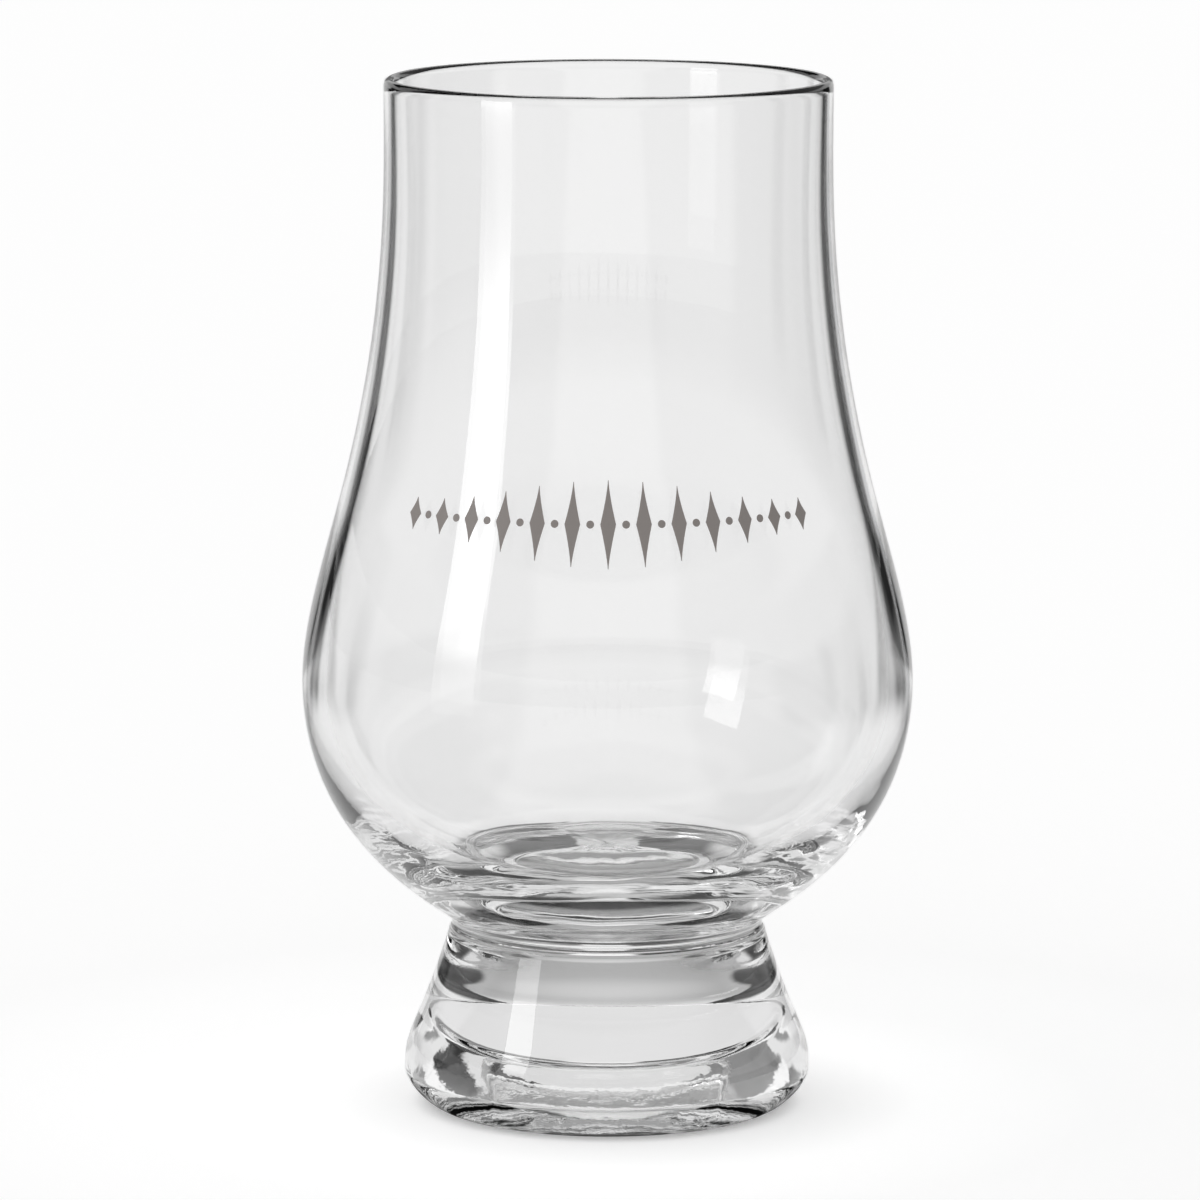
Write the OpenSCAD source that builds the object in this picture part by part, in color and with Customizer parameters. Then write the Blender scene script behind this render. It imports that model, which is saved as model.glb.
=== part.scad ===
// Whisky nosing glass: a blown tulip bowl fused at the neck to a solid pressed foot.
// The glass stands on the XY plane with its axis on Z.

/* [Whole glass] */
// Height from the table to the top of the rim
glass_h = 115; // [110:0.5:125]
// Height of the fused seam between bowl and foot
seam_h = 20.2; // [18:0.1:23]
// Radius of the neck, at the seam
neck_r = 17.4; // [15:0.1:19]
// Softening of the two edges that meet at the seam
seam_round = 0.25; // [0.1:0.05:0.5]

/* [Bowl, outside] */
// Upright part of the bowl above the seam
stub_h = 0.85; // [0.5:0.05:2]
// Radius of the crease where the stub turns into the underside
crease_r = 0.5; // [0.2:0.05:1]
// Rise of the underside where it leaves the neck, in degrees from level
underside_slope = 33; // [20:1:45]
// Radius at the widest point
belly_r = 34; // [32:0.25:36]
// Height of the widest point above the table
belly_h = 48; // [45:0.25:52]
// Radius at the waist, where the swelling turns into the chimney
waist_r = 29.9; // [28:0.1:31]
// Height of the waist above the table
waist_h = 68; // [64:0.25:74]
// Lean of the wall at the waist, in degrees from upright
waist_lean = 15; // [10:0.5:20]
// Radius at the mouth
mouth_r = 24.8; // [23:0.1:27]

/* [Bowl, inside] */
// Thickness of the wall at the fire-polished rim
rim_wall = 1.2; // [0.8:0.1:2]
// Thickness of the wall at the waist
waist_wall = 1.8; // [1.2:0.1:2.6]
// Thickness of the wall at the widest point
belly_wall = 2.55; // [1.8:0.05:3.4]
// Thickness of glass between the seam and the floor inside
floor_t = 6.1; // [4:0.1:8]
// Radius of the level part of the floor inside
floor_r = 10; // [6:0.5:13]

/* [Foot] */
// Height of the rounding at the top of the foot, under the seam
collar_h = 0.8; // [0.5:0.05:2]
// How far the top of the flank stands out from the neck
shoulder = 0.36; // [0.1:0.02:0.8]
// Lean of the flank under the rounding, in degrees from upright
flank_lean = 17.7; // [12:0.1:24]
// Radius at the widest point of the foot
foot_r = 22.7; // [21:0.1:25]
// Height of the widest point of the foot
foot_belly_h = 4.05; // [3:0.05:6]
// Outer radius of the ring that the foot stands on
rest_r = 18.6; // [17:0.1:20]
// Width of the ring that the foot stands on
rest_w = 0.7; // [0.4:0.1:3]
// Depth of the pressed hollow under the foot
punt_depth = 6.3; // [3:0.1:8]
// Radius of the level roof of the hollow
punt_roof_r = 13.5; // [10:0.1:15]
// Rounding between the roof of the hollow and its wall
punt_round = 1.5; // [0.5:0.1:2.5]

/* [Hidden] */
clear_glass = [0.86, 0.89, 0.9, 0.45];

// How far each curve's handles reach, as shares of the span that the curve crosses
underside_out_share = 0.2;
belly_down_share = 0.6;
belly_up_share = 0.305;
waist_down_share = 0.355;
waist_up_share = 0.475;
mouth_down_share = 0.22;
floor_out_share = 0.56;
inside_down_share = 0.59;
edge_out_share = 0.27;
edge_down_share = 0.36;
flank_up_share = 0.29;
flank_down_share = 0.83;

curve_steps = 16;
round_steps = 6;
$fn = 180;

// A cubic curve from a to d, pulled towards the handles b and c
function curve(a, b, c, d) =
    [for (i = [0 : curve_steps])
        let (t = i / curve_steps, u = 1 - t)
            u * u * u * a + 3 * u * u * t * b + 3 * u * t * t * c + t * t * t * d];

// An arc of an upright ellipse about a centre, from one angle to another
function arc(centre, radii, from, to, steps) =
    [for (i = [0 : steps])
        let (a = from + (to - from) * i / steps)
            centre + [radii.x * cos(a), radii.y * sin(a)]];

function level(angle) = [cos(angle), sin(angle)];
function upright(angle) = [-sin(angle), cos(angle)];

// Points of the bowl's section, as [radius, height]
floor_h = seam_h + floor_t;
stub_top = seam_h + stub_h;
underside_start = [neck_r + crease_r, stub_top] + crease_r * [-sin(underside_slope), cos(underside_slope)];
belly = [belly_r, belly_h];
waist = [waist_r, waist_h];
rim_h = glass_h - rim_wall / 2;
mouth = [mouth_r, rim_h];

belly_in = belly - [belly_wall, 0];
waist_in = waist - waist_wall * level(waist_lean);
mouth_in = mouth - [rim_wall, 0];
floor_edge = [floor_r, floor_h];

// Outside of the bowl, from the crease over the neck up to the rim
function bowl_outside() = concat(
    curve(underside_start,
          underside_start + underside_out_share * norm(belly - underside_start) * level(underside_slope),
          belly - [0, belly_down_share * (belly.y - underside_start.y)],
          belly),
    curve(belly,
          belly + [0, belly_up_share * (waist.y - belly.y)],
          waist - waist_down_share * (waist.y - belly.y) * upright(waist_lean),
          waist),
    curve(waist,
          waist + waist_up_share * (mouth.y - waist.y) * upright(waist_lean),
          mouth - [0, mouth_down_share * (mouth.y - waist.y)],
          mouth));

// Inside of the bowl, from the rim down to the level floor
function bowl_inside() = concat(
    curve(mouth_in,
          mouth_in - [0, mouth_down_share * (mouth_in.y - waist_in.y)],
          waist_in + waist_up_share * (mouth_in.y - waist_in.y) * upright(waist_lean),
          waist_in),
    curve(waist_in,
          waist_in - waist_down_share * (waist_in.y - belly_in.y) * upright(waist_lean),
          belly_in + [0, belly_up_share * (waist_in.y - belly_in.y)],
          belly_in),
    curve(belly_in,
          belly_in - [0, inside_down_share * (belly_in.y - floor_h)],
          floor_edge + [floor_out_share * (belly_in.x - floor_r), 0],
          floor_edge));

function bowl_outline() = concat(
    [[0, seam_h]],
    arc([neck_r - seam_round, seam_h + seam_round], [seam_round, seam_round], -90, 0, round_steps),
    arc([neck_r + crease_r, stub_top], [crease_r, crease_r], 180, 90 + underside_slope, round_steps),
    bowl_outside(),
    arc([mouth_r - rim_wall / 2, rim_h], [rim_wall / 2, rim_wall / 2], 0, 180, 2 * round_steps),
    bowl_inside(),
    [[0, floor_h]]);

module bowl() {
    color(clear_glass) rotate_extrude() polygon(bowl_outline());
}

// Points of the foot's section, as [radius, height]
foot_rest = [rest_r, 0];
foot_wide = [foot_r, foot_belly_h];
flank_top = [neck_r + shoulder, seam_h - collar_h];
flank_rise = flank_top.y - foot_wide.y;
punt_r = rest_r - rest_w;
punt_slope = atan2(punt_depth, punt_r - punt_roof_r);
punt_bend = [punt_roof_r - punt_round * tan(punt_slope / 2), punt_depth - punt_round];

// From the middle of the hollow over the ring, the edge and the flank up to the seam
function foot_outline() = concat(
    [[0, punt_depth]],
    arc(punt_bend, [punt_round, punt_round], 90, 90 - punt_slope, 2 * round_steps),
    [[punt_r, 0]],
    curve(foot_rest,
          foot_rest + [edge_out_share * norm(foot_wide - foot_rest), 0],
          foot_wide - [0, edge_down_share * foot_belly_h],
          foot_wide),
    curve(foot_wide,
          foot_wide + [0, flank_up_share * flank_rise],
          flank_top - flank_down_share * flank_rise * upright(flank_lean),
          flank_top),
    arc([neck_r - seam_round, seam_h - collar_h], [seam_round + shoulder, collar_h], 0, 90, round_steps),
    [[0, seam_h]]);

module foot() {
    color(clear_glass) rotate_extrude() polygon(foot_outline());
}

bowl();
foot();
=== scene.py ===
"""A whisky nosing glass of clear crystal, standing on a pale table under soft studio light.

The bowl and the foot are surfaces of revolution worked out with numpy from the same named sizes as
the construction model.  They stand for its two nodes and keep their place, so nothing is moved or
fitted.
"""

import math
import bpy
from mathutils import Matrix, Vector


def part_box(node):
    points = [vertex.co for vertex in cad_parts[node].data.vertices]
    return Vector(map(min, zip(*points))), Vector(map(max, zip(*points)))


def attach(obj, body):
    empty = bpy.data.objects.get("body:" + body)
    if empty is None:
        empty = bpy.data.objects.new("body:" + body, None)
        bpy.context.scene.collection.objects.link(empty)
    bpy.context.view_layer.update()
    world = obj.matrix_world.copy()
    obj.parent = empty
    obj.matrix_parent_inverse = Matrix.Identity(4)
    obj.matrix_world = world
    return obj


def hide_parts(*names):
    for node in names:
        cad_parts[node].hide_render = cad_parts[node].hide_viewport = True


bl_info = {
    "name": "Nosing Glass",
    "version": (1, 0, 0),
    "blender": (4, 5, 0),
    "location": "3D View > Sidebar > Nosing Glass",
    "description": "Builds a crystal nosing glass with its printed ornament and its studio",
    "category": "Object",
}

import bpy
import numpy as np
from bpy.props import FloatProperty, FloatVectorProperty, IntProperty, PointerProperty

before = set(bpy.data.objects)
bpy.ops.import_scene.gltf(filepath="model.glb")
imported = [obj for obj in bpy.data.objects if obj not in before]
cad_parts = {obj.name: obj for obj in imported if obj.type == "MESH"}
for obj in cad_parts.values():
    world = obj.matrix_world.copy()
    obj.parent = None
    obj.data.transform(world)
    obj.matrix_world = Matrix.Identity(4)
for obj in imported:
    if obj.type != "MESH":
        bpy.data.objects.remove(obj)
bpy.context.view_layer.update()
BOWL_LOW, BOWL_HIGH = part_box("bowl")
FOOT_LOW, FOOT_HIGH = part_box("foot")
MM = 0.001

# How far each curve's handles reach, as shares of the span that the curve crosses
UNDERSIDE_OUT = 0.2
BELLY_DOWN = 0.6
BELLY_UP = 0.305
WAIST_DOWN = 0.355
WAIST_UP = 0.475
MOUTH_DOWN = 0.22
INSIDE_DOWN = 0.59
FLOOR_OUT = 0.56
EDGE_OUT = 0.27
EDGE_DOWN = 0.36
FLANK_UP = 0.29
FLANK_DOWN = 0.83

# Waves of the unevenness: how tall they are in metres, and the most of them round the glass
BOWL_WAVES = {"seed": 3, "tall": 0.03, "around": 7}
FOOT_WAVES = {"seed": 5, "tall": 0.02, "around": 9}
# The ripple inside the hollow: its shortest and longest waves
HOLLOW_RIPPLE = {"seed": 11, "short": 1.2 * MM, "long": 7 * MM}
# The unevenness starts this far from the seam and is whole this much further on
SEAM_CALM = 1.5 * MM
BOWL_FADE = 4 * MM
FOOT_FADE = 3 * MM
# It also fades over this much above the table
TABLE_FADE = 2 * MM
# Faces of the foot this close to the roof of the hollow still count as in it
ROOF_SLACK = 0.1 * MM
# The ripple of the foot's glass is stronger within this radius of the axis
HOLLOW_GLASS = 18.2 * MM
# The ripple of the bowl's glass grows from the second height down to the first
THICK_GLASS = (27 * MM, 46 * MM)

# Share of a lozenge's half width left at its tips, and how hollow its sides are
TIP = 0.04
SIDE_POWER = 1.35
# The first and last rows of a dot lie this share of the radius from its middle
POLE = 0.995

CRYSTAL_IOR = 1.545
# How many fine waves there are to one broad wave of the glass ripple
FINER = 9.0


def length(name, text, mm, low=0.0):
    """A length property, written in millimetres and kept in metres."""
    return FloatProperty(
        name=name, description=text, default=mm * MM, min=low, unit="LENGTH", precision=5
    )


def angle(name, text, degrees):
    """An angle property, written in degrees."""
    return FloatProperty(
        name=name, description=text, default=math.radians(degrees), unit="ROTATION"
    )


def colour(name, text, value):
    """A colour property."""
    return FloatVectorProperty(
        name=name, description=text, default=value, min=0, max=1, subtype="COLOR", size=3
    )


class BowlSizes(bpy.types.PropertyGroup):
    """Sizes of the blown bowl."""

    height: length("Height", "Table to the top of the rim", BOWL_HIGH.z / MM)
    seam: length("Seam", "Height of the fused seam", BOWL_LOW.z / MM)
    neck: length("Neck", "Radius at the seam", 17.4)
    seam_round: length("Seam rounding", "Softening of the edge at the seam", 0.25)
    stub: length("Stub", "Upright part above the seam", 0.85)
    crease: length("Crease", "Radius of the crease under the bowl", 0.5)
    slope: angle("Underside slope", "Rise of the underside where it leaves the neck", 33)
    belly: length("Belly", "Radius at the widest point", BOWL_HIGH.x / MM)
    belly_height: length("Belly height", "Height of the widest point", 48)
    waist: length("Waist", "Radius where the swelling turns into the chimney", 29.9)
    waist_height: length("Waist height", "Height of the waist", 68)
    waist_lean: angle("Waist lean", "Lean of the wall at the waist", 15)
    mouth: length("Mouth", "Radius at the mouth", 24.8)
    rim_wall: length("Rim wall", "Thickness at the fire-polished rim", 1.2)
    waist_wall: length("Waist wall", "Thickness at the waist", 1.8)
    belly_wall: length("Belly wall", "Thickness at the widest point", 2.55)
    floor: length("Floor glass", "Glass between the seam and the floor inside", 6.1)
    floor_radius: length("Floor radius", "Level part of the floor inside", 10)
    turns: IntProperty(name="Facets round", description="Columns of the mesh", default=232, min=24)
    rings: IntProperty(name="Facets up", description="Rings of the mesh", default=400, min=40)
    wave: length("Wave", "Depth of the hand-blown unevenness", 0.012)


class FootSizes(bpy.types.PropertyGroup):
    """Sizes of the pressed foot."""

    seam: length("Seam", "Height of the fused seam", FOOT_HIGH.z / MM)
    neck: length("Neck", "Radius at the seam", 17.4)
    seam_round: length("Seam rounding", "Softening of the edge at the seam", 0.25)
    collar: length("Collar", "Height of the rounding under the seam", 0.8)
    shoulder: length("Shoulder", "How far the top of the flank stands out from the neck", 0.36)
    lean: angle("Flank lean", "Lean of the flank under the collar", 17.7)
    widest: length("Widest", "Radius at the widest point", FOOT_HIGH.x / MM)
    widest_height: length("Widest height", "Height of the widest point", 4.05)
    rest: length("Resting ring", "Outer radius of the ring it stands on", 18.6)
    rest_width: length("Ring width", "Width of the ring it stands on", 0.7)
    punt: length("Hollow", "Depth of the hollow underneath", 6.3)
    roof: length("Hollow roof", "Radius of the level roof of the hollow", 13.5)
    bend: length("Hollow rounding", "Rounding between the roof of the hollow and its wall", 1.5)
    turns: IntProperty(name="Facets round", description="Columns of the mesh", default=400, min=24)
    rings: IntProperty(name="Facets up", description="Rings of the mesh", default=240, min=40)
    wave: length("Wave", "Depth of the ripple left by the mould", 0.02)
    rough: length("Hollow ripple", "Depth of the ripple inside the hollow", 0.03)


class OrnamentSizes(bpy.types.PropertyGroup):
    """Sizes of the printed ornament on the front of the bowl."""

    height: length("Height", "Height of its middle above the table", 69.6)
    tallest: length("Tallest lozenge", "Height of the middle lozenge", 9.3)
    shortest: length("Shortest lozenge", "Height of the end lozenges", 3.4)
    width: length("Lozenge width", "Width of every lozenge", 1.7)
    dot: length("Dot", "Radius of the dots between lozenges", 0.42)
    pitch: length("Pitch", "Distance from lozenge to lozenge round the wall", 3.85)
    pairs: IntProperty(name="Pairs", description="Lozenges on each side of the middle", default=6)
    ink: length("Ink", "Thickness of the ink", 0.02)
    lift: length("Lift", "Gap that keeps ink and glass apart", 0.012)
    tint: colour("Ink colour", "Warm grey enamel", (0.31, 0.28, 0.265))


class StudioSizes(bpy.types.PropertyGroup):
    """The table, the light and the camera."""

    table: colour("Table colour", "Pale table", (0.8, 0.8, 0.8))
    table_half: length("Table half width", "Half the width of the table top", 20000)
    strip: length("Strip light radius", "Distance of the strip light from the axis", 250)
    strip_low: length("Strip light foot", "Lower end of the strip light", 24)
    strip_high: length("Strip light head", "Upper end of the strip light", 165)
    strip_at: angle("Strip light bearing", "Clockwise from straight behind the glass", 236.2)
    strip_spread: angle("Strip light spread", "Width of the strip light as seen from the glass", 17)
    distance: length("Camera distance", "From the axis of the glass", 818.7)
    camera_height: length("Camera height", "Above the table", 186.15)
    pitch: angle("Camera pitch", "Downward tilt of the camera", 8.98)
    side: length("Camera offset", "The camera stands this far to the left", 1.08)
    roll: angle("Camera roll", "Tilt of the picture", 0.1)
    lens: FloatProperty(name="Lens", description="Focal length in millimetres", default=223.5)


def along(slope):
    """The unit step that rises by slope from level."""
    return np.array([math.cos(slope), math.sin(slope)])


def up(lean):
    """The unit step that leans inwards by lean from upright."""
    return np.array([-math.sin(lean), math.cos(lean)])


def curve(a, b, c, d, count=64):
    """A cubic from a to d with handles b and c: the four points mixed by the Bernstein weights."""
    t = np.linspace(0, 1, count)[:, None]
    u = 1 - t
    return u**3 * a + 3 * u * u * t * b + 3 * u * t * t * c + t**3 * d


def arc(centre, radii, start, stop, count=12):
    """An arc of an ellipse: the centre plus the radii times cosine and sine of the angle."""
    a = np.radians(np.linspace(start, stop, count))[:, None]
    return np.array(centre) + np.array(radii) * np.hstack([np.cos(a), np.sin(a)])


def bowl_outside(s):
    """The outer face from the crease to the rim: three cubics that meet without a bend."""
    start = np.array([s.neck + s.crease, s.seam + s.stub]) + s.crease * up(s.slope)
    belly = np.array([s.belly, s.belly_height])
    waist = np.array([s.waist, s.waist_height])
    mouth = np.array([s.mouth, s.height - s.rim_wall / 2])
    reach = np.linalg.norm(belly - start)
    rise = waist[1] - belly[1]
    top = mouth[1] - waist[1]
    return np.vstack(
        [
            curve(
                start,
                start + UNDERSIDE_OUT * reach * along(s.slope),
                belly - [0, BELLY_DOWN * (belly[1] - start[1])],
                belly,
            ),
            curve(
                belly,
                belly + [0, BELLY_UP * rise],
                waist - WAIST_DOWN * rise * up(s.waist_lean),
                waist,
            )[1:],
            curve(
                waist,
                waist + WAIST_UP * top * up(s.waist_lean),
                mouth - [0, MOUTH_DOWN * top],
                mouth,
            )[1:],
        ]
    )


def bowl_inside(s):
    """The inner face from the rim to the floor: the outer points moved in by the wall."""
    belly = np.array([s.belly - s.belly_wall, s.belly_height])
    waist = np.array([s.waist, s.waist_height]) - s.waist_wall * along(s.waist_lean)
    mouth = np.array([s.mouth - s.rim_wall, s.height - s.rim_wall / 2])
    floor = np.array([s.floor_radius, s.seam + s.floor])
    rise = waist[1] - belly[1]
    top = mouth[1] - waist[1]
    return np.vstack(
        [
            curve(
                mouth,
                mouth - [0, MOUTH_DOWN * top],
                waist + WAIST_UP * top * up(s.waist_lean),
                waist,
            ),
            curve(
                waist,
                waist - WAIST_DOWN * rise * up(s.waist_lean),
                belly + [0, BELLY_UP * rise],
                belly,
            )[1:],
            curve(
                belly,
                belly - [0, INSIDE_DOWN * (belly[1] - floor[1])],
                floor + [FLOOR_OUT * (belly[0] - floor[0]), 0],
                floor,
            )[1:],
        ]
    )


def bowl_outline(s):
    """The bowl's section, from the middle of the seam round the rim to the middle of the floor."""
    r = s.seam_round
    k = s.crease
    w = s.rim_wall / 2
    return np.vstack(
        [
            [[0, s.seam]],
            arc((s.neck - r, s.seam + r), (r, r), -90, 0),
            arc((s.neck + k, s.seam + s.stub), (k, k), 180, 90 + math.degrees(s.slope)),
            bowl_outside(s)[1:],
            arc((s.mouth - w, s.height - w), (w, w), 0, 180, 20)[1:],
            bowl_inside(s)[1:],
            [[0, s.seam + s.floor]],
        ]
    )


def foot_outline(s):
    """The foot's section, from the middle of its hollow to the middle of the seam."""
    inner = s.rest - s.rest_width
    slope = math.atan2(s.punt, inner - s.roof)
    bend = (s.roof - s.bend * math.tan(slope / 2), s.punt - s.bend)
    rest = np.array([s.rest, 0])
    wide = np.array([s.widest, s.widest_height])
    top = np.array([s.neck + s.shoulder, s.seam - s.collar])
    reach = np.linalg.norm(wide - rest)
    rise = top[1] - wide[1]
    r = s.seam_round
    return np.vstack(
        [
            [[0, s.punt]],
            arc(bend, (s.bend, s.bend), 90, 90 - math.degrees(slope), 20),
            [[inner, 0]],
            curve(
                rest,
                rest + [EDGE_OUT * reach, 0],
                wide - [0, EDGE_DOWN * s.widest_height],
                wide,
            ),
            curve(
                wide,
                wide + [0, FLANK_UP * rise],
                top - FLANK_DOWN * rise * up(s.lean),
                top,
            )[1:],
            arc((s.neck - r, s.seam - s.collar), (r + s.shoulder, s.collar), 0, 90)[1:],
            [[0, s.seam]],
        ]
    )


def evenly(outline, count, least=1e-9):
    """The outline again, as count points at even steps of its length, corners kept to a step."""
    step = np.linalg.norm(np.diff(outline, axis=0), axis=1)
    outline = outline[np.concatenate([[True], step > least])]
    run = np.concatenate([[0], np.cumsum(np.linalg.norm(np.diff(outline, axis=0), axis=1))])
    at = np.linspace(0, run[-1], count)
    return np.stack([np.interp(at, run, outline[:, i]) for i in (0, 1)], axis=1)


def new_piece(name, points, faces, materials, body="root", smooth=True):
    """A mesh object from arrays of points and faces, riding on a body."""
    mesh = bpy.data.meshes.new(name)
    mesh.from_pydata(points.tolist(), [], faces)
    mesh.validate()
    mesh.update()
    if smooth:
        mesh.shade_smooth()
    for material in materials:
        mesh.materials.append(material)
    piece = bpy.data.objects.new(name, mesh)
    bpy.context.scene.collection.objects.link(piece)
    if body:
        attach(piece, body)
    return piece


def revolve(outline, turns, offset=None):
    """A closed surface of revolution.

    Each outline point (r, z) between the two ends becomes a ring of points
    (r cos a, r sin a, z); the two ends lie on the axis and are one point each.
    offset(a, r, z) gives what is added to the radius and to the height.
    """
    ring = outline[1:-1]
    a = np.linspace(0, 2 * math.pi, turns, endpoint=False)
    r = np.repeat(ring[:, :1], turns, axis=1)
    z = np.repeat(ring[:, 1:], turns, axis=1)
    turn = np.repeat(a[None, :], len(ring), axis=0)
    if offset is not None:
        out, rise = offset(turn, r, z)
        r, z = r + out, z + rise
    grid = np.stack([r * np.cos(turn), r * np.sin(turn), z], axis=2).reshape(-1, 3)
    points = np.vstack([[[0, 0, outline[0, 1]]], grid, [[0, 0, outline[-1, 1]]]])
    rows = len(ring)
    i = np.arange(rows - 1)[:, None] * turns + 1
    j = np.arange(turns)[None, :]
    k = (j + 1) % turns
    quads = np.stack([i + j, i + k, i + turns + k, i + turns + j], axis=2).reshape(-1, 4)
    first = np.stack([np.zeros(turns, int), 1 + k[0], 1 + j[0]], axis=1)
    base = 1 + (rows - 1) * turns
    last = np.stack([np.full(turns, len(points) - 1), base + j[0], base + k[0]], axis=1)
    return points, first.tolist() + quads.tolist() + last.tolist()


def wavy(depth, seed, tall, around, count=9):
    """A smooth unevenness of the radius, in metres.

    It is the mean of sines of the angle and the height with unrelated wavelengths, lowered by
    a half so that next to none of it points outwards.
    """
    rng = np.random.default_rng(seed)
    parts = [
        (rng.integers(2, around), rng.uniform(0.4, 1.6) * tall, rng.uniform(0, 2 * math.pi))
        for _ in range(count)
    ]

    def offset(a, r, z):
        total = sum(np.sin(n * a + z / w * 2 * math.pi + p) for n, w, p in parts)
        return depth * (total / count - 0.5)

    return offset


def rough(depth, seed, short, long, count=36):
    """A fine pressed ripple over x and y.

    It is a sum of cosines along random bearings, with wavelengths from short to long,
    between -depth and depth in metres, mostly under a third of that.
    """
    rng = np.random.default_rng(seed)
    wavelength = short * (long / short) ** rng.uniform(0, 1, count)
    bearing = rng.uniform(0, 2 * math.pi, count)
    phase = rng.uniform(0, 2 * math.pi, count)

    def height(x, y):
        total = sum(
            np.cos((x * math.cos(b) + y * math.sin(b)) / w * 2 * math.pi + p)
            for w, b, p in zip(wavelength, bearing, phase)
        )
        return depth * np.clip(total / count, -1, 1)

    return height


def node(tree, kind, **values):
    """A new node, with its properties and its inputs set by name."""
    made = tree.nodes.new(kind)
    for key, value in values.items():
        if key in made.inputs:
            made.inputs[key].default_value = value
        else:
            setattr(made, key, value)
    return made


def material(name):
    """A material with a Principled shader, and its tree and shader."""
    made = bpy.data.materials.new(name)
    made.use_nodes = True
    return made, made.node_tree, made.node_tree.nodes["Principled BSDF"]


def link(tree, source, target):
    """Joins an output to an input, or writes a plain number into the input."""
    if isinstance(source, bpy.types.NodeSocket):
        tree.links.new(source, target)
    else:
        target.default_value = source


def compute(tree, operation, a, b=0.0):
    """The result of a math node."""
    made = node(tree, "ShaderNodeMath", operation=operation)
    link(tree, a, made.inputs[0])
    link(tree, b, made.inputs[1])
    return made.outputs[0]


def slide(tree, value, low, high, start=0.0, end=1.0):
    """start where value is under low, end where it is over high, and a smooth slope between."""
    made = node(tree, "ShaderNodeMapRange", interpolation_type="SMOOTHSTEP")
    link(tree, value, made.inputs["Value"])
    link(tree, low, made.inputs["From Min"])
    link(tree, high, made.inputs["From Max"])
    link(tree, start, made.inputs["To Min"])
    link(tree, end, made.inputs["To Max"])
    return made.outputs["Result"]


def blend(tree, factor, a, b):
    """a where factor is 0, b where it is 1, and a mix between."""
    made = node(tree, "ShaderNodeMix", data_type="FLOAT")
    link(tree, factor, made.inputs[0])
    link(tree, a, made.inputs[2])
    link(tree, b, made.inputs[3])
    return made.outputs[0]


def parts_of(tree, vector):
    """The X, Y and Z of a vector."""
    split = node(tree, "ShaderNodeSeparateXYZ")
    tree.links.new(vector, split.inputs[0])
    return split.outputs["X"], split.outputs["Y"], split.outputs["Z"]


def vector_math(tree, operation, vector, output=0):
    """A result of a vector math node with one vector."""
    made = node(tree, "ShaderNodeVectorMath", operation=operation)
    tree.links.new(vector, made.inputs[0])
    return made.outputs[output]


def from_axis(tree, place):
    """The level vector from the axis to a place, and its length."""
    flat = node(tree, "ShaderNodeVectorMath", operation="MULTIPLY")
    flat.inputs[1].default_value = (1, 1, 0)
    tree.links.new(place, flat.inputs[0])
    return flat.outputs[0], vector_math(tree, "LENGTH", flat.outputs[0], "Value")


def on_object(tree):
    """The place of a point on its object, in metres."""
    return node(tree, "ShaderNodeTexCoord").outputs["Object"]


def ripple_group():
    """The shared group of the glass surface: a normal that trembles as fire-polished glass does.

    Two noises, one broad and one fine, are turned into heights; Broad and Fine are their
    depths in metres, and Size is the waves to the metre of the broad one.  The noise is read at
    the radius, the height and Around times the cosine and sine of the angle, in metres, so a
    small Around draws the waves out into rings, as a mould or a turning glass does.
    """
    if "glass ripple" in bpy.data.node_groups:
        return bpy.data.node_groups["glass ripple"]
    tree = bpy.data.node_groups.new("glass ripple", "ShaderNodeTree")
    for name in ("Size", "Broad", "Fine", "Around"):
        tree.interface.new_socket(name, in_out="INPUT", socket_type="NodeSocketFloat")
    tree.interface.new_socket("Normal", in_out="OUTPUT", socket_type="NodeSocketVector")
    given = node(tree, "NodeGroupInput")
    result = node(tree, "NodeGroupOutput")
    where = on_object(tree)
    height = parts_of(tree, where)[2]
    flat, away = from_axis(tree, where)
    turned = node(tree, "ShaderNodeVectorMath", operation="SCALE")
    tree.links.new(vector_math(tree, "NORMALIZE", flat), turned.inputs[0])
    tree.links.new(given.outputs["Around"], turned.inputs["Scale"])
    x, y, _ = parts_of(tree, turned.outputs[0])
    place = node(tree, "ShaderNodeCombineXYZ")
    tree.links.new(x, place.inputs["X"])
    tree.links.new(y, place.inputs["Y"])
    tree.links.new(away, place.inputs["Z"])
    size = given.outputs["Size"]
    finer = compute(tree, "MULTIPLY", size, FINER)
    normal = None
    for depth, scale, roughness in (("Broad", size, 0.4), ("Fine", finer, 0.5)):
        noise = node(
            tree, "ShaderNodeTexNoise", noise_dimensions="4D", Detail=1.0, Roughness=roughness
        )
        bump = node(tree, "ShaderNodeBump", Strength=1.0)
        tree.links.new(scale, noise.inputs["Scale"])
        tree.links.new(place.outputs[0], noise.inputs["Vector"])
        tree.links.new(height, noise.inputs["W"])
        tree.links.new(noise.outputs[0], bump.inputs["Height"])
        tree.links.new(given.outputs[depth], bump.inputs["Distance"])
        if normal:
            tree.links.new(normal, bump.inputs["Normal"])
        normal = bump.outputs[0]
    tree.links.new(normal, result.inputs[0])
    return tree


def below(tree, low, high):
    """1 under the height low, 0 above high, and a smooth slope between."""
    return slide(tree, parts_of(tree, on_object(tree))[2], low, high, 1.0, 0.0)


def underneath(tree, radius, height):
    """1 on what lies nearer to the axis than radius and lower than height, and 0 elsewhere."""
    where = on_object(tree)
    near = compute(tree, "LESS_THAN", from_axis(tree, where)[1], radius)
    low = compute(tree, "LESS_THAN", parts_of(tree, where)[2], height)
    return compute(tree, "MULTIPLY", near, low)


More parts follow.
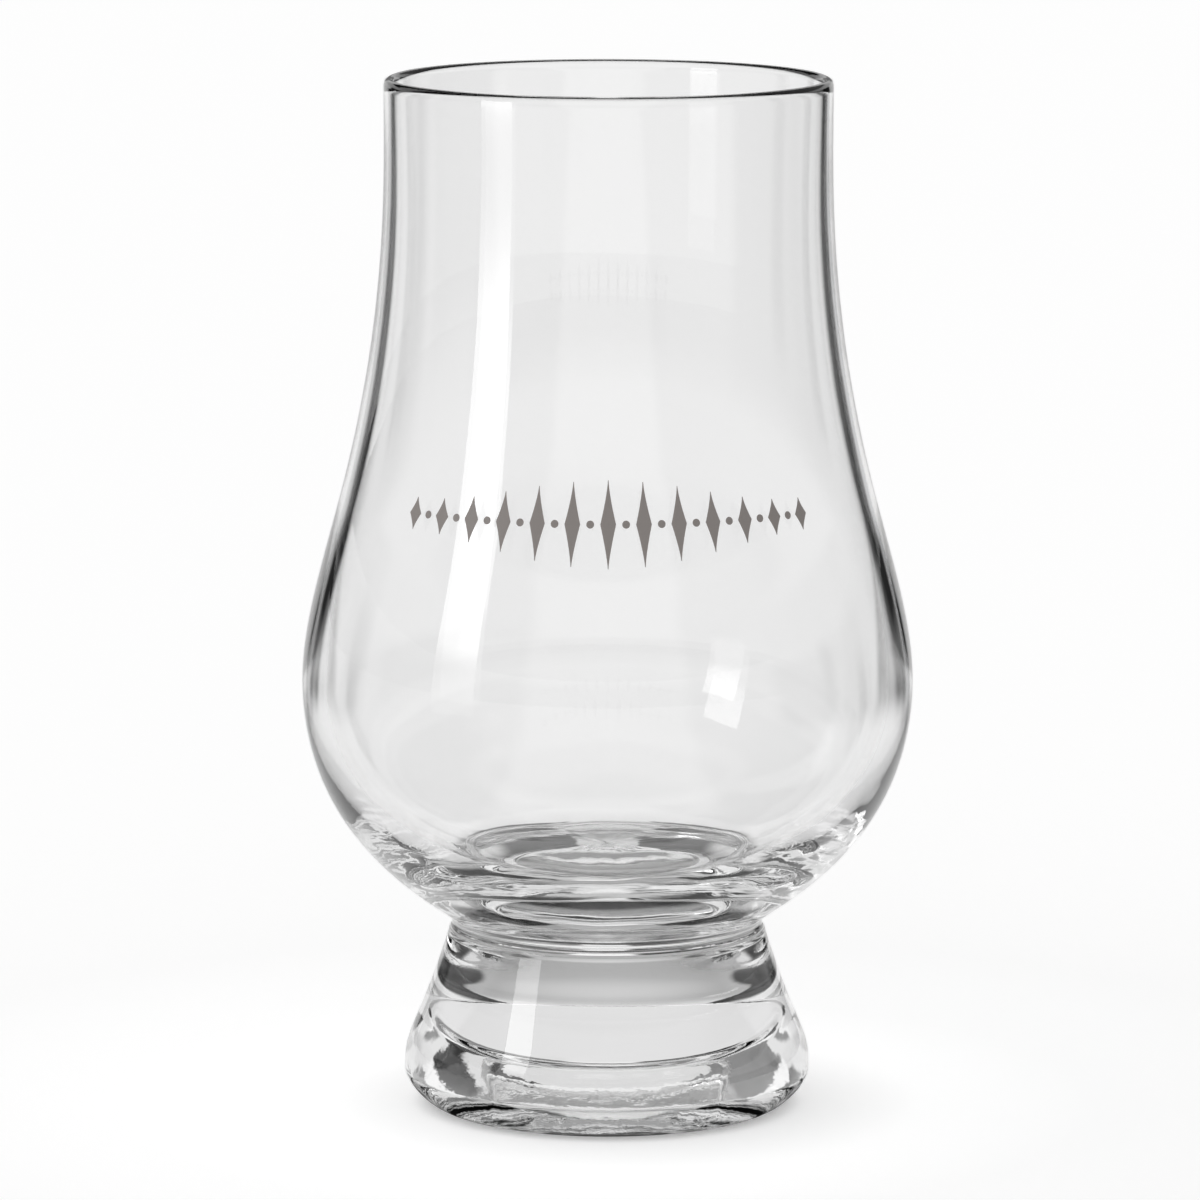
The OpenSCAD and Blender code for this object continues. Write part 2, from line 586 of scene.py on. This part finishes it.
def crystal(name, size, around, broad, fine, mask):
    """Clear crystal with no colour of its own, which ripples more in places.

    mask(tree) is 1 in those places.  broad and fine are pairs of ripple depths in metres,
    elsewhere and there.
    """
    made, tree, shader = material(name)
    shader.inputs["Base Color"].default_value = (1, 1, 1, 1)
    shader.inputs["Roughness"].default_value = 0
    shader.inputs["IOR"].default_value = CRYSTAL_IOR
    shader.inputs["Transmission Weight"].default_value = 1
    ripple = node(tree, "ShaderNodeGroup")
    ripple.node_tree = ripple_group()
    ripple.inputs["Size"].default_value = size
    ripple.inputs["Around"].default_value = around
    there = mask(tree)
    for name_of_depth, (over, under) in (("Broad", broad), ("Fine", fine)):
        depth = node(tree, "ShaderNodeMapRange")
        tree.links.new(there, depth.inputs["Value"])
        depth.inputs["To Min"].default_value = over
        depth.inputs["To Max"].default_value = under
        tree.links.new(depth.outputs["Result"], ripple.inputs[name_of_depth])
    tree.links.new(ripple.outputs["Normal"], shader.inputs["Normal"])
    return made


def fused():
    """The inside faces at the seam, where the two glasses are one: light passes straight."""
    made, _, shader = material("fused seam")
    shader.inputs["Alpha"].default_value = 0
    return made


def enamel(tint):
    """Fired enamel ink."""
    made, _, shader = material("enamel ink")
    shader.inputs["Base Color"].default_value = (*tint, 1)
    shader.inputs["Roughness"].default_value = 0.45
    return made


class GLASS_OT_bowl(bpy.types.Operator):
    """Make the blown bowl"""

    bl_idname = "nosing_glass.bowl"
    bl_label = "Bowl"

    def execute(self, context):
        s = context.scene.bowl_sizes
        outline = evenly(bowl_outline(s), s.rings)
        wave = wavy(s.wave, **BOWL_WAVES)

        def offset(a, r, z):
            """The unevenness of the wall, which fades out towards the seam."""
            return wave(a, r, z) * np.clip((z - s.seam - SEAM_CALM) / BOWL_FADE, 0, 1), 0

        points, faces = revolve(outline, s.turns, offset)
        low, high = THICK_GLASS
        glass = crystal(
            "bowl crystal",
            size=160,
            around=20 * MM,
            broad=(6e-6, 1.2e-4),
            fine=(0, 1.5e-6),
            mask=lambda tree: below(tree, low, high),
        )
        piece = new_piece("crystal_bowl", points, faces, [glass, fused()])
        mark_seam(piece, s.seam)
        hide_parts("bowl")
        return {"FINISHED"}


class GLASS_OT_foot(bpy.types.Operator):
    """Make the pressed foot"""

    bl_idname = "nosing_glass.foot"
    bl_label = "Foot"

    def execute(self, context):
        s = context.scene.foot_sizes
        outline = evenly(foot_outline(s), s.rings)
        wave = wavy(s.wave, **FOOT_WAVES)
        ripple = rough(s.rough, **HOLLOW_RIPPLE)

        def fade(z):
            """1 on the flank, and 0 at the table and near the seam."""
            below_seam = np.clip((s.seam - SEAM_CALM - z) / FOOT_FADE, 0, 1)
            return np.clip(z / TABLE_FADE, 0, 1) * below_seam

        def offset(a, r, z):
            """Ripples the flank a little, and the hollow's wall more, up to its roof."""
            hollow = (r < s.rest - s.rest_width) & (r > s.roof - s.bend) & (z < s.punt + ROOF_SLACK)
            change = ripple(r * np.cos(a), r * np.sin(a)) * np.clip(z / MM, 0, 1) * hollow
            return wave(a, r, z) * fade(z) + change * np.clip((r - s.roof + s.bend) / MM, 0, 1), 0

        points, faces = revolve(outline, s.turns, offset)
        glass = crystal(
            "foot crystal",
            size=400,
            around=8 * MM,
            broad=(8e-6, 4e-5),
            fine=(1e-6, 4e-6),
            mask=lambda tree: underneath(tree, HOLLOW_GLASS, s.punt - ROOF_SLACK),
        )
        piece = new_piece("crystal_foot", points, faces, [glass, fused()])
        mark_seam(piece, s.seam)
        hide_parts("foot")
        return {"FINISHED"}


def mark_seam(piece, seam, slack=0.02 * MM, upright=0.99):
    """Give the level faces at the seam the fused material."""
    mesh = piece.data
    z = np.zeros(len(mesh.polygons) * 3, np.float32)
    mesh.polygons.foreach_get("center", z)
    n = np.zeros(len(mesh.polygons) * 3, np.float32)
    mesh.polygons.foreach_get("normal", n)
    at_seam = (abs(z[2::3] - seam) < slack) & (abs(n[2::3]) > upright)
    mesh.polygons.foreach_set("material_index", at_seam.astype(np.int32))
    mesh.update()


def on_wall(s, bowl, across, height, depth):
    """Points on the outer face of the bowl, from across and height, depth away from the glass."""
    wall = bowl_outside(bowl)
    radius = np.interp(height, wall[:, 1], wall[:, 0]) + s.lift + depth
    turn = across / np.interp(s.height, wall[:, 1], wall[:, 0])
    return np.stack([radius * np.sin(turn), -radius * np.cos(turn), height], axis=1)


def lozenge(tall, wide, steps=10, columns=4):
    """The grid of a lozenge with softly hollow sides: half width wide/2 (1 - |v|)^SIDE_POWER."""
    v = np.linspace(-1, 1, 2 * steps + 1)
    u = np.linspace(-1, 1, columns + 1)
    half = wide / 2 * (TIP + (1 - TIP) * (1 - abs(v)) ** SIDE_POWER)
    return np.repeat(v[:, None] * tall / 2, columns + 1, axis=1), half[:, None] * u[None, :]


def dot(radius, steps=10, columns=4):
    """The same kind of grid for a round dot: rows cut the circle, half width sqrt(1 - v^2)."""
    v = np.sin(np.linspace(-math.pi / 2, math.pi / 2, 2 * steps + 1)) * POLE
    u = np.linspace(-1, 1, columns + 1)
    half = radius * np.sqrt(1 - v**2)
    return np.repeat(v[:, None] * radius, columns + 1, axis=1), half[:, None] * u[None, :]


def plate(s, bowl, middle, grid):
    """A closed thin plate of ink on the wall from a grid of (up, across) offsets."""
    rise, across = grid
    rows, columns = rise.shape
    flat = (across.ravel() + middle, rise.ravel() + s.height)
    outer = on_wall(s, bowl, *flat, s.ink)
    inner = on_wall(s, bowl, *flat, 0)
    n = rows * columns
    quads = []
    for i in range(rows - 1):
        for j in range(columns - 1):
            a, b = i * columns + j, (i + 1) * columns + j
            quads += [(a, a + 1, b + 1, b), (n + a, n + b, n + b + 1, n + a + 1)]
    last = columns - 1
    for i in range(rows - 1):
        a, b = i * columns, (i + 1) * columns
        quads += [(a, b, n + b, n + a), (a + last, n + a + last, n + b + last, b + last)]
    for j in range(columns - 1):
        a, b = j, (rows - 1) * columns + j
        quads += [(a, n + a, n + a + 1, a + 1), (b, b + 1, n + b + 1, n + b)]
    return np.vstack([outer, inner]), quads


class GLASS_OT_ornament(bpy.types.Operator):
    """Make the printed ornament: a graduated row of lozenges with dots between them"""

    bl_idname = "nosing_glass.ornament"
    bl_label = "Ornament"

    def execute(self, context):
        s = context.scene.ornament_sizes
        bowl = context.scene.bowl_sizes
        marks = []
        for i in range(-s.pairs, s.pairs + 1):
            fall = (1 - math.cos(math.pi * abs(i) / s.pairs)) / 2
            tall = s.tallest + (s.shortest - s.tallest) * fall
            marks.append(plate(s, bowl, i * s.pitch, lozenge(tall, s.width)))
            if i < s.pairs:
                marks.append(plate(s, bowl, (i + 0.5) * s.pitch, dot(s.dot)))
        points, faces = [], []
        for more, quads in marks:
            base = sum(len(p) for p in points)
            faces += [tuple(base + k for k in quad) for quad in quads]
            points.append(more)
        new_piece("printed_ornament", np.vstack(points), faces, [enamel(s.tint)], smooth=False)
        return {"FINISHED"}


class GLASS_OT_studio(bpy.types.Operator):
    """Make the table, the lights and the camera"""

    bl_idname = "nosing_glass.studio"
    bl_label = "Studio"

    def execute(self, context):
        s = context.scene.studio_sizes
        make_table(s)
        make_world(context.scene)
        make_strip_light(s)
        make_camera(context.scene, s)
        return {"FINISHED"}


def seen(tree):
    """Masks of rays: all that the eye sees by, those by way of glass, and the direct ones."""
    path = node(tree, "ShaderNodeLightPath").outputs
    glass = compute(tree, "MAXIMUM", path["Is Glossy Ray"], path["Is Transmission Ray"])
    return compute(tree, "MAXIMUM", path["Is Camera Ray"], glass), glass, path["Is Camera Ray"]


def ramp(tree, stops, value):
    """The grey found at value in (place, brightness) pairs."""
    made = node(tree, "ShaderNodeValToRGB")
    bar = made.color_ramp.elements
    for i, (place, grey) in enumerate(stops):
        stop = bar[i] if i < 2 else bar.new(place)
        stop.position = place
        stop.color = (grey, grey, grey, 1)
    tree.links.new(value, made.inputs[0])
    return made.outputs[0]


# Brightness of the room near the horizon, by bearing in degrees from straight behind the glass
ROUND = (
    (-180, 0.22), (-114, 0.4), (-106, 0.75), (-78, 0.75), (-72, 0.3), (-62, 0.3), (-58, 0.65),
    (-47, 0.65), (-42, 0.03), (-33, 0.03), (-29, 1.2), (24, 1.2), (27, 0.03), (37, 0.03),
    (42, 0.6), (60, 0.6), (68, 0.25), (112, 0.25), (120, 0.5), (150, 0.5), (158, 0.22),
)
# The same higher up
CEILING = (
    (-180, 0.8), (-120, 0.5), (-100, 0.2), (-60, 0.03), (-56, 0.03), (-52, 0.9), (-38, 0.9),
    (-34, 0.03), (-8, 0.03), (-6, 1.2), (8, 1.2), (10, 0.25), (60, 0.3), (80, 0.04),
    (105, 0.04), (120, 0.5), (150, 0.8),
)
# A dark thing straight behind, as a share of ROUND
SCREEN = ((-12, 1.0), (-9, 0.22), (9, 0.22), (12, 1.0))
# Brightness of the table where it is far from the glass, by bearing: painted light and shade that
# only glass shows
FAR_PAINTED_LIGHT_AND_SHADE = (
    (-180, 0.95), (-120, 1.0), (-76, 1.0), (-71, 0.3), (-65, 0.3), (-61, 0.9), (-40, 0.9),
    (-37, 0.03), (-29, 0.03), (-25, 1.0), (24, 1.0), (27, 0.03), (37, 0.03), (42, 0.6),
    (60, 0.6), (68, 0.25), (110, 0.25), (116, 0.95),
)
# By the upward part of a direction: the share of the zenith in the ceiling, and its brightness
TOP = ((0.0, 0.0), (0.72, 0.0), (0.78, 1.0), (1.0, 1.0))
ZENITH = ((0.0, 0.75), (0.82, 0.75), (0.88, 0.1), (1.0, 0.1))

# By distance from the axis, in units of TENTH: the table's own light, weaker by the foot as a
# painted shadow and a little stronger some way out as painted light over the foot's real shadow,
# and the painted shade and light that glass shows of the table beside the streak behind the foot,
# in that painted streak of light, and in front
TENTH = 0.1
GLOW_AND_PAINTED_SHADOW = (
    (0.0, 0.2), (0.175, 0.2), (0.2, 0.3), (0.22, 0.5), (0.35, 0.57), (0.55, 0.47), (0.9, 0.41),
)
SHADE = (
    (0.0, 0.9), (0.17, 0.9), (0.185, 0.02), (0.3, 0.02), (0.38, 0.04), (0.43, 0.8), (0.6, 1.0),
)
PAINTED_STREAK_OF_LIGHT = (
    (0.0, 0.9), (0.16, 0.9), (0.175, 1.2), (0.205, 1.2), (0.23, 0.45), (0.31, 0.5),
    (0.35, 0.75), (0.6, 1.0),
)
PAINTED_SHADE_IN_FRONT = ((0.0, 0.9), (0.175, 0.9), (0.19, 0.02), (0.25, 0.03), (0.31, 0.55), (0.38, 1.0))
# Where one of those gives way to the next, in metres: the sides of the painted streak of light and
# of the painted shade, the line between front and back, the front of the hollow, its radius, and
# the start of the far table's painted light and shade
STREAK_EDGE = (0.0033, 0.0039)
SHADE_EDGE = (0.013, 0.017)
FRONT_EDGE = 0.005
HOLLOW_EDGE = (-0.001, 0.006)
HOLLOW_RADIUS = 0.018
FAR_EDGE = (0.15, 0.3)
# Shares of the table's brightness in what glass shows, as painted shade: beside the painted shade,
# in the front of the hollow, and in all
SIDE_SHARE = 0.95
HOLLOW_PAINTED_SHADE = 0.12
TABLE_SHARE = 0.9

# By the upward part of a direction: where the screen, the walls and the ceiling start
SCREEN_EDGE = (0.02, 0.05)
WALL_EDGE = (0.09, 0.15)
CEILING_EDGE = (0.25, 0.29)
WALL_LIGHT = 0.97
# Share of the room's brightness that glass shows
ROOM_SHARE = 0.8
# The light that falls on things, from the left and from the right
FILL = (1.0, 0.44)

# The strip light: heights between which it brightens, and its strength there
STRIP_RISE = (0.08, 0.105)
STRIP_LIGHT = (1.4, 4.0)
STRIP_COLUMNS = 13

# The camera's sensor in millimetres, and how near and far it sees in metres
SENSOR = 36
CLIP = (0.01, 60)

# How often light may bend or pass through the glass, and be mirrored
CLEAR_BOUNCES = 32
MIRROR_BOUNCES = 16


def room_group():
    """The shared group of the room: how bright it is in a direction, for what glass shows of it.

    The bearing atan2(x, y), from -180 to 180 degrees with 0 straight behind the glass, is
    looked up in ramps of bright windows and dark screens: Low near the horizon, High above,
    Screen, a dark thing straight behind, for Low to be multiplied by, and Table, the painted
    light and shade of the far table.
    """
    if "room light" in bpy.data.node_groups:
        return bpy.data.node_groups["room light"]
    tree = bpy.data.node_groups.new("room light", "ShaderNodeTree")
    tree.interface.new_socket("Vector", in_out="INPUT", socket_type="NodeSocketVector")
    for name in ("Low", "High", "Screen", "Table"):
        tree.interface.new_socket(name, in_out="OUTPUT", socket_type="NodeSocketFloat")
    given = node(tree, "NodeGroupInput")
    result = node(tree, "NodeGroupOutput")
    x, y, z = parts_of(tree, given.outputs[0])
    turn = node(tree, "ShaderNodeMapRange")
    turn.inputs["From Min"].default_value = -math.pi
    turn.inputs["From Max"].default_value = math.pi
    tree.links.new(compute(tree, "ARCTAN2", x, y), turn.inputs["Value"])

    def by_bearing(stops):
        return ramp(tree, [(0.5 + a / 360, grey) for a, grey in stops], turn.outputs["Result"])

    high = blend(tree, ramp(tree, TOP, z), by_bearing(CEILING), ramp(tree, ZENITH, z))
    found = (by_bearing(ROUND), high, by_bearing(SCREEN), by_bearing(FAR_PAINTED_LIGHT_AND_SHADE))
    for output, socket in zip(found, result.inputs):
        tree.links.new(output, socket)
    return tree


def room(tree, direction):
    """The outputs of the room group for a direction."""
    made = node(tree, "ShaderNodeGroup")
    made.node_tree = room_group()
    tree.links.new(direction, made.inputs[0])
    return made.outputs


def make_table(s):
    """A wide pale table top.

    A little light of its own makes it render white and leaves the shadow of the foot; that light
    is weaker next to the foot, which paints a thin shadow there, and a little stronger some way
    out, which paints light over part of the foot's real shadow.  What the glass shows of it is
    painted light and shade: painted shade behind the foot but for a painted streak of light
    straight behind it, painted shade in front of the foot, darker in the front of the hollow
    than at its back, and painted light and shade that follow the room further out.
    """
    made, tree, shader = material("pale table")
    shader.inputs["Roughness"].default_value = 0.9
    shader.inputs["Specular IOR Level"].default_value = 0.0
    shader.inputs["Emission Color"].default_value = (1, 1, 1, 1)
    where = on_object(tree)
    x, y, _ = parts_of(tree, where)
    away = vector_math(tree, "LENGTH", where, "Value")
    run = compute(tree, "MULTIPLY", away, 1 / TENTH)
    aside = compute(tree, "ABSOLUTE", x)

    # Painted shade behind the foot, and a painted streak of light straight behind it, in the colour
    # that glass shows
    painted_streak, shade = ramp(tree, PAINTED_STREAK_OF_LIGHT, run), ramp(tree, SHADE, run)
    behind = blend(tree, slide(tree, aside, *STREAK_EDGE), painted_streak, shade)
    behind = blend(tree, slide(tree, aside, *SHADE_EDGE), behind, SIDE_SHARE)
    # Painted shade in front of the foot
    before = compute(tree, "LESS_THAN", y, FRONT_EDGE)
    close = blend(tree, before, behind, ramp(tree, PAINTED_SHADE_IN_FRONT, run))
    # Painted shade in the front of the hollow, darker than at its back
    painted_hollow_shade = slide(tree, y, *HOLLOW_EDGE, HOLLOW_PAINTED_SHADE)
    outside = compute(tree, "GREATER_THAN", away, HOLLOW_RADIUS)
    near = compute(tree, "MULTIPLY", close, compute(tree, "MAXIMUM", painted_hollow_shade, outside))
    toned = compute(tree, "MULTIPLY", near, TABLE_SHARE)
    # Painted light and shade of the far table, by bearing
    far = blend(tree, slide(tree, away, *FAR_EDGE), 1.0, room(tree, where)["Table"])
    eye, glass, _ = seen(tree)
    # Glass rays see the table's colour with all this painted light and shade; other rays see it
    # plain
    painted_light_and_shade = blend(tree, glass, 1.0, compute(tree, "MULTIPLY", far, toned))

    paint = node(tree, "ShaderNodeVectorMath", operation="SCALE")
    paint.inputs[0].default_value = s.table
    tree.links.new(painted_light_and_shade, paint.inputs["Scale"])
    tree.links.new(paint.outputs[0], shader.inputs["Base Color"])
    # The table's own light, weaker by the foot as a painted shadow and stronger some way out as
    # painted light
    lit = compute(tree, "MULTIPLY", ramp(tree, GLOW_AND_PAINTED_SHADOW, run), painted_light_and_shade)
    tree.links.new(compute(tree, "MULTIPLY", eye, lit), shader.inputs["Emission Strength"])
    half = s.table_half
    points = np.array([[-half, -half, 0], [half, -half, 0], [half, half, 0], [-half, half, 0]])
    table = new_piece("table_top", points, [(0, 1, 2, 3)], [made], body=None, smooth=False)


def make_world(scene):
    """White to the eye, the room through glass, and a soft fill that is stronger from the left."""
    world = bpy.data.worlds.new("studio")
    world.use_nodes = True
    scene.world = world
    tree = world.node_tree
    tree.nodes.clear()
    out = node(tree, "ShaderNodeOutputWorld")
    eye, _, direct = seen(tree)
    where = node(tree, "ShaderNodeTexCoord").outputs["Generated"]
    x, _, z = parts_of(tree, where)
    around = room(tree, where)
    screen = blend(tree, slide(tree, z, *SCREEN_EDGE), 1.0, around["Screen"])
    horizon = compute(tree, "MULTIPLY", around["Low"], screen)
    walls = blend(tree, slide(tree, z, *WALL_EDGE), horizon, WALL_LIGHT)
    shown = blend(tree, slide(tree, z, *CEILING_EDGE), walls, around["High"])
    toned = compute(tree, "MULTIPLY", shown, ROOM_SHARE)
    backdrop = node(tree, "ShaderNodeBackground", Color=(1, 1, 1, 1))
    tree.links.new(blend(tree, direct, toned, 1.0), backdrop.inputs["Strength"])
    lean = node(tree, "ShaderNodeMapRange")
    lean.inputs["From Min"].default_value = -1.0
    lean.inputs["To Min"].default_value, lean.inputs["To Max"].default_value = FILL
    tree.links.new(x, lean.inputs["Value"])
    fill = node(tree, "ShaderNodeBackground", Color=(1, 1, 1, 1))
    tree.links.new(lean.outputs["Result"], fill.inputs["Strength"])
    mix = node(tree, "ShaderNodeMixShader")
    tree.links.new(eye, mix.inputs[0])
    tree.links.new(fill.outputs[0], mix.inputs[1])
    tree.links.new(backdrop.outputs[0], mix.inputs[2])
    tree.links.new(mix.outputs[0], out.inputs[0])


def make_strip_light(s):
    """A bright upright strip at the left front that only the glass shows.

    It is a card curved round the glass: points (radius sin a, radius cos a, z) over a span of
    bearings.
    """
    made = bpy.data.materials.new("strip light")
    made.use_nodes = True
    made.cycles.emission_sampling = "NONE"
    tree = made.node_tree
    tree.nodes.clear()
    out = node(tree, "ShaderNodeOutputMaterial")
    shine = node(tree, "ShaderNodeEmission")
    height = parts_of(tree, on_object(tree))[2]
    tree.links.new(slide(tree, height, *STRIP_RISE, *STRIP_LIGHT), shine.inputs["Strength"])
    tree.links.new(shine.outputs[0], out.inputs[0])

    n = STRIP_COLUMNS
    a = np.linspace(s.strip_at - s.strip_spread / 2, s.strip_at + s.strip_spread / 2, n)
    x, y = s.strip * np.sin(a), s.strip * np.cos(a)
    ends = (s.strip_low, s.strip_high)
    points = np.vstack([np.stack([x, y, np.full(n, z)], axis=1) for z in ends])
    faces = [(i, i + 1, n + i + 1, n + i) for i in range(n - 1)]
    card = new_piece("strip_light", points, faces, [made], body=None)
    card.visible_camera = False
    card.visible_diffuse = False
    card.visible_shadow = False
    card.visible_volume_scatter = False


def make_camera(scene, s):
    """The camera of the photograph: level with its height, pitched down, in front of the glass."""
    data = bpy.data.cameras.new("camera")
    data.lens = s.lens
    data.sensor_width = SENSOR
    camera = bpy.data.objects.new("camera", data)
    camera.location = (-s.side, -s.distance, s.camera_height)
    camera.rotation_euler = (math.pi / 2 - s.pitch, -s.roll, 0)
    scene.collection.objects.link(camera)
    scene.camera = camera
    data.clip_start, data.clip_end = CLIP


class GLASS_PT_panel(bpy.types.Panel):
    """Lists the pieces of the glass"""

    bl_label = "Nosing Glass"
    bl_idname = "GLASS_PT_panel"
    bl_space_type = "VIEW_3D"
    bl_region_type = "UI"
    bl_category = "Nosing Glass"

    def draw(self, context):
        for operator in (GLASS_OT_bowl, GLASS_OT_foot, GLASS_OT_ornament, GLASS_OT_studio):
            self.layout.operator(operator.bl_idname)


SIZES = {
    "bowl_sizes": BowlSizes,
    "foot_sizes": FootSizes,
    "ornament_sizes": OrnamentSizes,
    "studio_sizes": StudioSizes,
}
CLASSES = (
    *SIZES.values(),
    GLASS_OT_bowl,
    GLASS_OT_foot,
    GLASS_OT_ornament,
    GLASS_OT_studio,
    GLASS_PT_panel,
)


def register():
    """Adds the classes and hangs the sizes on the scene."""
    for cls in CLASSES:
        bpy.utils.register_class(cls)
    for name, cls in SIZES.items():
        setattr(bpy.types.Scene, name, PointerProperty(type=cls))


def unregister():
    """Takes back what register added."""
    for name in SIZES:
        delattr(bpy.types.Scene, name)
    for cls in reversed(CLASSES):
        bpy.utils.unregister_class(cls)


def main():
    register()
    bpy.ops.nosing_glass.bowl()
    bpy.ops.nosing_glass.foot()
    bpy.ops.nosing_glass.ornament()
    bpy.ops.nosing_glass.studio()
    scene = bpy.context.scene
    scene.view_settings.view_transform = "Standard"
    scene.cycles.max_bounces = CLEAR_BOUNCES
    scene.cycles.transmission_bounces = CLEAR_BOUNCES
    scene.cycles.glossy_bounces = MIRROR_BOUNCES


if __name__ == "__main__":
    main()
